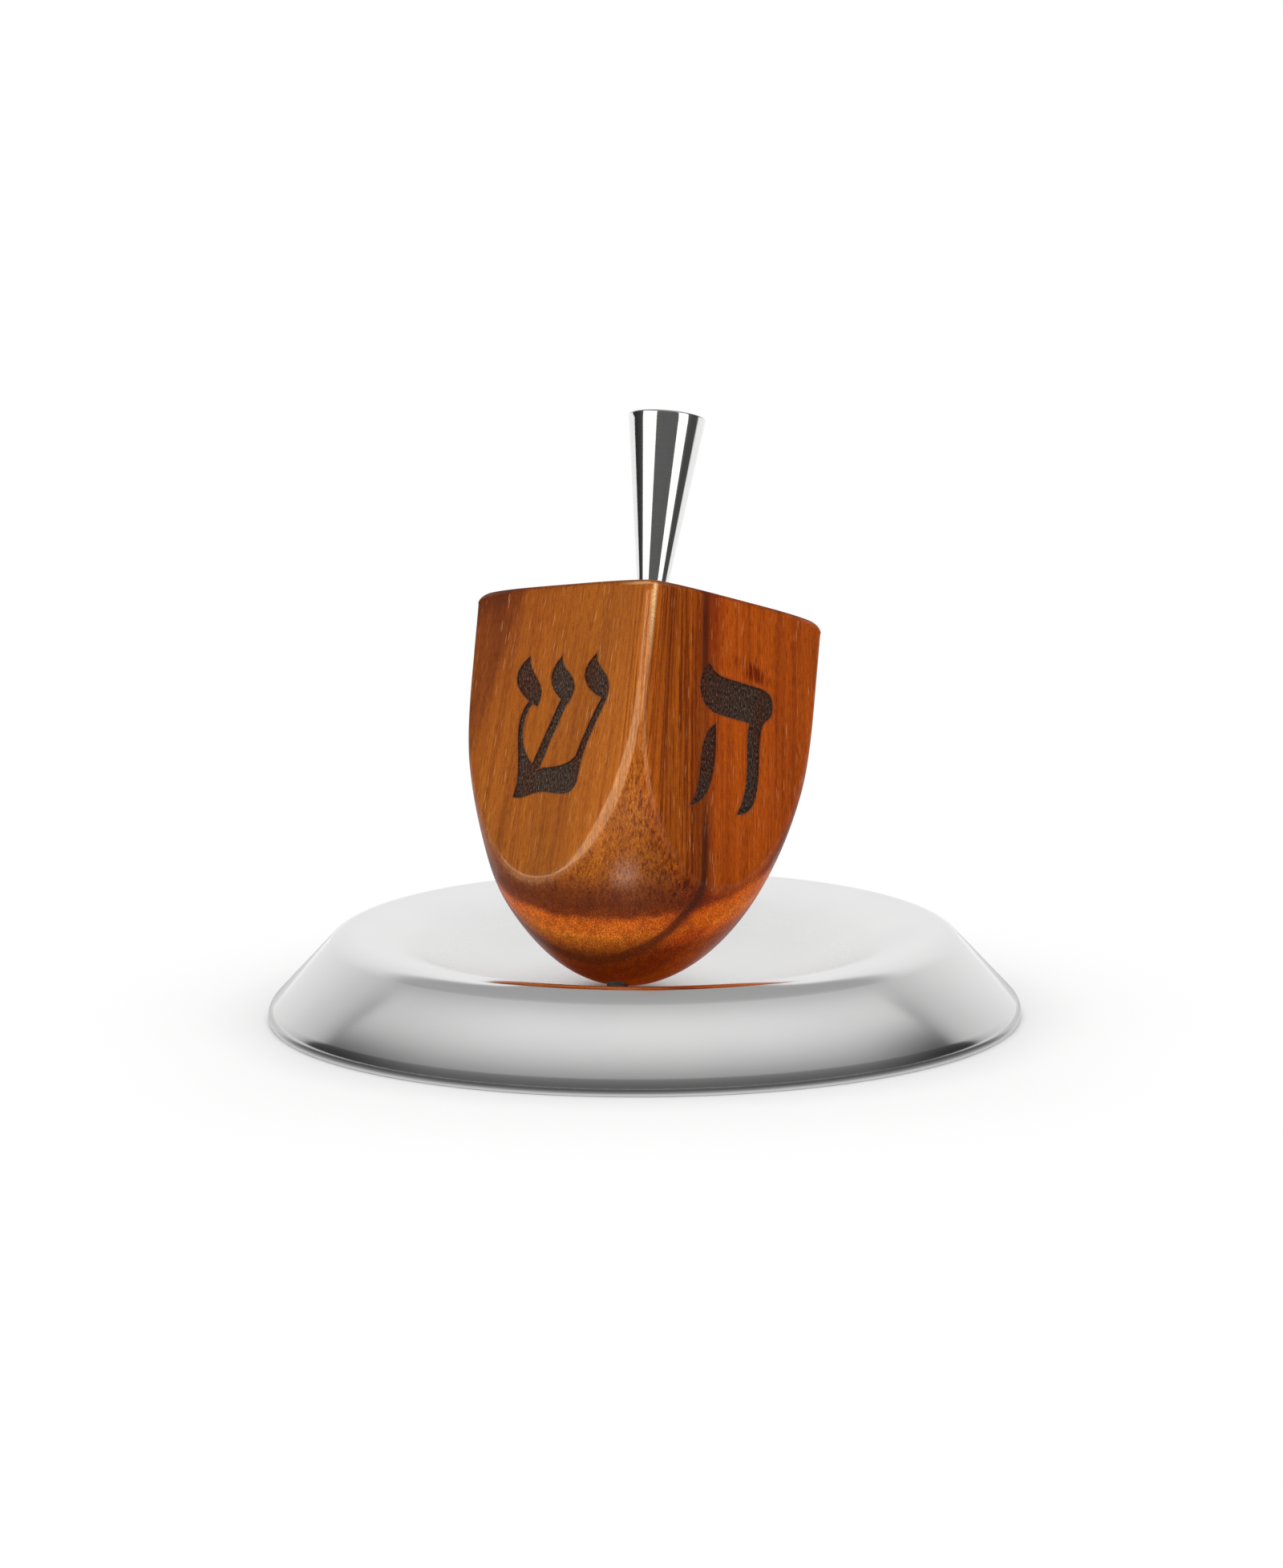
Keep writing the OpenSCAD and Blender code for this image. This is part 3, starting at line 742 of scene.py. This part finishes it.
def add_pores(g, w, colour):
    """Pores, some filled pale with lacquer and some dark, and the nose's grains. Returns the pores too."""
    grouped = g.noise(w.fibre, (0.22, 0.22, 0.06), 1.0)
    pale = g.times(pores(g, w.fibre, (3.0, 3.0, 0.2), 0.0), g.step(grouped, 0.40, 0.58))
    dark = g.times(pores(g, w.fibre, (2.6, 2.6, 0.28), 37.0), g.step(grouped, 0.66, 0.45))
    colour = g.mix(g.times(dark, 0.7), colour, (0.075, 0.016, 0.004))
    colour = g.mix(g.times(pale, g.linear(w.nose, 0.0, 1.0, 0.45, 0.2)), colour, (0.62, 0.30, 0.13))
    colour = g.tint(w.nose, colour, (1.13, 1.12, 1.1))
    grains = g.noise(w.place, (5.5, 5.5, 5.0), 1.0)
    grainy = g.times(w.nose, g.step(w.rise, 4.0, 0.0, 0.4, 1.0))
    colour = g.tint(g.times(grainy, g.step(grains, 0.55, 0.68)), colour, (1.7, 2.1, 1.8))
    colour = g.tint(g.times(grainy, g.step(grains, 0.46, 0.34)), colour, (0.66, 0.55, 0.6))
    return colour, g.add(dark, pale)


def paint_edge_light_and_shade(g, w, colour):
    """Painted shade on the top's rounded edge, and painted highlights on the edge between the two lettered sides and
    on the top rim beside it. Returns the painted shade's mask too.
    """
    # Painted shade: the top edge's rounding is darkened, and further on it loses its lacquer
    shaded_rim = g.times(g.step(w.z, HEIGHT - 0.9, HEIGHT - 0.3), g.step(w.sides, 19.4, 20.2))
    colour = g.tint(shaded_rim, colour, (0.6, 0.52, 0.55))
    # Painted highlight: a pale cream line down the upper part of the edge between the two lettered sides
    across = g.less(w.x, w.y)
    painted_edge_highlight = g.times(g.step(g.add(w.x, w.y), -39.2, -40.0), g.step(across, -0.2, 0.7), g.step(across, 1.6, 0.7),
                     g.step(w.z, 47.0, 64.0), g.step(w.z, HEIGHT - 0.4, HEIGHT - 1.2),
                     g.linear(w.mottle, 0.36, 0.56, 0.45, 0.9))
    # A painted highlight on the top rim beside it too
    painted_rim_highlight = g.times(g.step(w.x, -19.9, -20.3), g.step(w.y, -13.0, -18.0), g.step(w.z, HEIGHT - 1.3, HEIGHT - 0.9),
                   g.step(w.z, HEIGHT - 0.4, HEIGHT - 0.8), 0.35)
    return g.mix(g.larger(painted_edge_highlight, painted_rim_highlight), colour, (0.90, 0.55, 0.24)), shaded_rim


def wood_material():
    """Lacquered acacia-like wood: growth layers, fibres that lean a little, pores, and the burnt letters."""
    mat, g = new_material("lacquered_wood")
    w = wood_places(g)
    colour = dark_layer(g, w, nose_grain_and_light(g, w, grown_wood(g, w)))
    colour, pored = add_pores(g, w, colour)
    # A wisp of scorch over the letter he
    off_x = g.line(w.x, 0.17, -0.75)
    off_z = g.add(g.times(w.x, 0.14), g.line(w.z, 0.55, -29.9))
    wisp = g.step(g.add(g.times(off_x, off_x), g.times(off_z, off_z)), 1.0, 0.1)
    ragged = g.step(g.noise(w.fibre, (1.9, 1.9, 0.16)), 0.38, 0.56)
    colour = g.tint(g.times(wisp, g.step(w.y, -18.0, -20.5), ragged, 0.9), colour, (0.34, 0.14, 0.1))
    # The burnt letters
    burnt = g.node("ShaderNodeAttribute", p_attribute_name="burn").outputs["Fac"]
    speck = g.noise(w.fibre, (4.4, 4.4, 1.7), 3.0, 0.7)
    char = g.tint(g.step(w.slow, 0.45, 0.62), g.ramp(speck, CHAR_TONES), (1.15, 0.72, 0.6))
    charred = g.math("POWER", burnt, 1.2)
    colour, shaded_rim = paint_edge_light_and_shade(g, w, g.mix(charred, colour, char))
    rough = g.mix(charred, g.mix(g.linear(w.fine, 0.3, 0.7), 0.40, 0.50), 0.8)
    height = g.less(g.times(w.fine, 0.3), g.times(pored, 0.7))
    height = g.add(height, g.times(speck, burnt, 3.0))
    # The letters have no lacquer, nor has the top edge's rounding of painted shade
    lacquer = g.times(g.linear(burnt, 0.0, 1.0, 0.27, 0.0), g.less(1.0, shaded_rim))
    g.surface(Base_Color=colour, Roughness=rough, Normal=g.bump(height, 0.3, 0.0001), IOR=1.5,
              Specular_IOR_Level=0.03, Coat_Weight=lacquer, Coat_Roughness=0.13,
              Coat_Normal=g.bump(height, 0.06, 0.0001))
    return mat


def dish_material():
    """Polished metal with fine turning lines, and a satin middle."""
    mat, g = new_material("polished_aluminium")
    place = millimetres(g)
    x, y, z = g.parts(place)
    radius = g.math("SQRT", g.add(g.times(x, x), g.times(y, y)))
    lines = g.noise(g.join(radius, z), (9.0, 9.0, 0.0), 3.0, 0.6)
    cloud = g.noise(place, (0.06, 0.06, 0.06), 3.0)
    colour = g.mix(g.linear(cloud, 0.3, 0.7), 0.905, (0.935, 0.935, 0.93))
    fine = g.linear(lines, 0.3, 0.7)
    satin = g.step(radius, 28.0, 49.0, 1.0, 0.0)
    rough = g.mix(satin, g.mix(fine, 0.12, 0.16), g.mix(fine, 0.27, 0.33))
    g.surface(Base_Color=colour, Roughness=rough, Normal=g.bump(lines, 0.04, 0.00002), Metallic=1.0)
    return mat


def handle_material():
    """Bright metal with turning lines round it and finer lines drawn along it."""
    mat, g = new_material("turned_aluminium")
    place = millimetres(g, own_axis=True)
    lines = g.noise(place, (0.2, 0.2, 6.0), 3.0, 0.6)
    drawn = g.linear(g.noise(place, (2.6, 2.6, 0.22), 3.0, 0.65), 0.3, 0.7)
    colour = g.tint(g.linear(lines, 0.35, 0.65), g.mix(drawn, (0.80, 0.81, 0.80), (0.87, 0.87, 0.855)), 0.93)
    g.surface(Base_Color=colour, Roughness=g.mix(drawn, 0.05, 0.08), Normal=g.bump(lines, 0.02, 0.00001),
              Metallic=1.0)
    return mat


def plain_metal(name, colour, stained, rough, scale):
    """Machined metal with turning lines and slight stains, for the tip, the stud and the insert."""
    mat, g = new_material(name)
    place = millimetres(g, own_axis=True)
    lines = g.noise(place, (0.4, 0.4, scale))
    stain = g.noise(place, (0.8, 0.8, 0.8), 3.0)
    g.surface(Base_Color=g.mix(g.linear(stain, 0.35, 0.7), colour, stained),
              Roughness=g.mix(g.linear(lines, 0.3, 0.7), rough, rough + 0.12),
              Normal=g.bump(lines, 0.15, 0.00003), Metallic=1.0)
    return mat


def give(obj, material):
    """Puts one material into all of an object's slots."""
    if not obj.data.materials:
        obj.data.materials.append(None)
    for k in range(len(obj.data.materials)):
        obj.data.materials[k] = material


def make_world():
    """White to the camera, an even level for plain surfaces, and for mirrors a studio laid out by direction."""
    world = bpy.data.worlds.new("studio")
    bpy.context.scene.world = world
    world.use_nodes = True
    g = Graph(world.node_tree)
    ray = g.node("ShaderNodeTexCoord").outputs["Generated"]
    x, y, z = g.parts(ray)
    height, around = g.elevation(z), g.math("ABSOLUTE", g.azimuth(x, y))
    # The mirror at the object that shows this ray from the front: its slope, and how far it faces sideways
    mx, my, mz = g.parts(g.vector("NORMALIZE", g.vector("ADD", ray, FRONT)))
    slope, side = g.elevation(mz), g.math("ABSOLUTE", g.azimuth(mx, my))

    def by_side(left, right):
        return g.step(mx, -0.1, 0.1, left, right)

    # Toward both sides flags and wings darken the front half. The far half rises behind its edge to white
    flags = g.times(g.step(side, 33.0, 55.0), g.step(g.add(slope, g.step(mx, 0.2, 0.5, 0.0, -2.0)), 41.0, 34.0))
    wings = g.times(g.step(side, 18.0, 50.0), g.step(slope, 55.0, 49.0))
    front = g.tint(flags, g.ramp_over(slope, FRONT_TONES), by_side(0.36, 0.26))
    front = g.tint(wings, front, by_side(0.80, 0.88))
    # It starts 125 degrees round to the left, and a little sooner to the right
    past = g.less(around, by_side(125.0, 120.5))
    sweep = g.times(g.step(past, -1.2, 1.2), g.step(g.add(height, by_side(0.0, -2.5)), 43.0, 34.0))
    shown = g.mix(sweep, front, g.ramp_over(past, BACK_TONES))
    path = g.node("ShaderNodeLightPath").outputs
    mirrored = g.larger(path["Is Glossy Ray"], path["Is Transmission Ray"])
    light = g.mix(mirrored, g.ramp_over(z, SOFT_TONES), shown)
    light = g.mix(path["Is Camera Ray"], light, 1.0)
    g.node("ShaderNodeOutputWorld", i0=g.shader("ShaderNodeBackground", Color=light, Strength=1.0))


def make_floor():
    """A white table that keeps the object's shadow, with painted shadow round the dish's foot and, for mirrors only,
    painted dark close to the foot, and fades out into plain white.
    """
    turns = [2 * math.pi * k / FLOOR_CORNERS for k in range(FLOOR_CORNERS)]
    ring = [(FLOOR_R * math.cos(a), FLOOR_R * math.sin(a), FLOOR_Z) for a in turns]
    floor = new_object("floor", ring, [tuple(range(FLOOR_CORNERS))])
    mat, g = new_material("floor_white")
    place = g.node("ShaderNodeTexCoord").outputs["Object"]
    away = g.vector("LENGTH", place)
    x, y, _ = g.parts(place)
    right = g.azimuth(x, y)
    aside = g.math("ABSOLUTE", right)
    path = g.node("ShaderNodeLightPath").outputs
    mirrored = g.larger(path["Is Glossy Ray"], path["Is Transmission Ray"])
    seen = g.larger(path["Is Camera Ray"], mirrored)
    # Painted shadow: the paper is darker right round the dish's foot, fading out 78 mm from its axis
    paper = g.shader("ShaderNodeBsdfDiffuse", Color=g.mix(g.step(away, 0.063, 0.078), 0.85, 0.93))
    lift = g.shader("ShaderNodeEmission", Color=1.0, Strength=g.times(seen, 0.03))
    near = g.shader("ShaderNodeAddShader", i0=paper, i1=lift)
    # A black flag stands on the right, which only mirrors show
    flag = g.times(g.step(right, 60.0, 75.0), g.step(right, 113.0, 103.0), g.step(away, 0.25, 0.35),
                   g.less(1.0, path["Is Camera Ray"]))
    white = g.shader("ShaderNodeEmission", Color=g.mix(flag, 1.0, 0.07), Strength=1.0)
    far = g.step(g.line(g.step(aside, 35.0, 75.0), 0.02, away), 0.075, 0.12)
    table = g.shader("ShaderNodeMixShader", i0=g.times(far, seen), i1=near, i2=white)
    # Mirrors alone see the floor painted dark close round the dish's foot: painted shade that darkens the foot's
    # reflection
    gap = g.times(g.ramp_over(away, MIRROR_SHADE_TONES), g.step(away, 0.26, 0.15), g.step(aside, 84.0, 68.0, 0.4, 1.0),
                  mirrored)
    dim = g.shader("ShaderNodeEmission", Color=0.09, Strength=1.0)
    g.node("ShaderNodeOutputMaterial", i0=g.shader("ShaderNodeMixShader", i0=gap, i1=table, i2=dim))
    give(floor, mat)


def make_card():
    """A white panel high behind the object, which only mirrors see: it keeps the bowl white up to its far side."""
    corners = [(0, 0), (1, 0), (1, 1), (0, 1)]
    card = new_object("white_panel", [(PANEL_X[i], PANEL_Y[j], PANEL_Z) for i, j in corners], [(0, 3, 2, 1)])
    card.visible_camera = card.visible_diffuse = card.visible_shadow = card.visible_transmission = False
    mat, g = new_material("panel_white")
    g.node("ShaderNodeOutputMaterial", i0=g.shader("ShaderNodeEmission", Color=0.86, Strength=1.0))
    give(card, mat)


def lamp(name, around, height, size, power, only, kind, colour=(1, 1, 1), target=(0, 0, 0.05), distance=1.3):
    """A rectangular lamp. Around and height say in degrees where it stands from its target, around to the right
    of the front. It may light only some pieces, and only by their gloss or only without it."""
    data = bpy.data.lights.new(name, "AREA")
    data.shape, data.energy, data.color = "RECTANGLE", power, colour
    data.size, data.size_y = size
    obj = bpy.data.objects.new(name, data)
    bpy.context.scene.collection.objects.link(obj)
    a, e = math.radians(around), math.radians(height)
    target = Vector(target)
    obj.location = target + distance * Vector((math.sin(a) * math.cos(e), -math.cos(a) * math.cos(e), math.sin(e)))
    obj.rotation_euler = (target - obj.location).to_track_quat("-Z", "Y").to_euler()
    obj.visible_camera = False
    obj.visible_glossy = kind != "diffuse"
    obj.visible_diffuse = kind != "gloss"
    if only:
        group = bpy.data.collections.new(name + "_lights")
        for o in only:
            group.objects.link(o)
        obj.light_linking.receiver_collection = group
        obj.light_linking.blocker_collection = group


def make_lamps(on_wood, on_metal):
    """The lamps: names, directions, sizes in metres, power, what they light and how."""
    amber, gold, cream, white = (1, 0.80, 0.48), (1, 0.86, 0.54), (1, 0.9, 0.8), (1, 0.985, 0.95)
    lamp("left_key", -61, 12, (1.0, 0.8), 6, on_wood, "diffuse")
    lamp("right_key", 49, 12, (0.62, 0.8), 4, on_wood, "diffuse")
    lamp("left_sheen", -47, 12, (1.6, 0.8), 56, on_wood, "gloss", amber)
    lamp("front_sheen", 4, 33, (0.5, 0.5), 12, on_wood, "gloss", gold)
    lamp("low_sheen", -90, -9, (0.65, 0.4), 15, on_wood, "gloss", amber)
    lamp("right_sheen", 36, 14, (0.8, 0.7), 11, on_wood, "gloss", amber)
    lamp("spot_sheen", -4, -28, (0.28, 0.20), 6.5, on_wood, "gloss", cream, (-0.01, -0.015, 0.02), 1.0)
    lamp("under_bounce", 0, -68, (0.3, 0.3), 1.3, on_wood, "diffuse", cream, (0, 0, 0.01), 0.5)
    lamp("left_strip", -57, 12, (1.104, 0.8), 3.4, on_metal, "both", white)
    lamp("right_strip", 52.5, 12, (0.72, 0.8), 2.25, on_metal, "both", white)
    lamp("top_softbox", 0, 80, (1.0, 0.8), 6, None, "diffuse", distance=1.2)


def make_camera():
    """The camera that fits the photograph's outlines."""
    data = bpy.data.cameras.new("camera")
    camera = bpy.data.objects.new("camera", data)
    bpy.context.scene.collection.objects.link(camera)
    bpy.context.scene.camera = camera
    data.sensor_fit, data.sensor_height = "VERTICAL", SENSOR
    data.lens = FOCAL / PHOTO_H * SENSOR
    data.clip_start, data.clip_end = 0.1, 20.0
    down, yaw, roll = math.radians(DOWN), math.radians(YAW), math.radians(ROLL)
    ahead = Vector((math.sin(yaw) * math.cos(down), math.cos(yaw) * math.cos(down), -math.sin(down)))
    right = Vector((math.cos(yaw), -math.sin(yaw), 0))
    up = right.cross(ahead)
    across = right * math.cos(roll) + up * math.sin(roll)
    upward = up * math.cos(roll) - right * math.sin(roll)
    turn = Matrix((across, upward, -ahead)).transposed().to_4x4()
    camera.matrix_world = Matrix.Translation(CAMERA_AT) @ turn


wood = build_wood()
grip = build_handle()
dish = build_dish()
tip, stud, insert = nodes["spin_tip"], nodes["handle_stud"], nodes["threaded_insert"]
give(wood, wood_material())
give(grip, handle_material())
give(dish, dish_material())
# The tip's steel is coloured dark: painted shade for the dark contact between the nose and the bowl
give(tip, plain_metal("tip_steel", (0.20, 0.21, 0.22), (0.13, 0.14, 0.15), 0.16, 6.0))
give(stud, plain_metal("stud_steel", (0.50, 0.51, 0.53), (0.40, 0.40, 0.42), 0.28, 4.0))
give(insert, plain_metal("insert_brass", (0.74, 0.56, 0.24), (0.60, 0.42, 0.16), 0.25, 4.0))
make_world()
make_floor()
make_lamps([wood], [grip, tip])
make_card()
make_camera()
bpy.context.scene.view_settings.view_transform = "Standard"
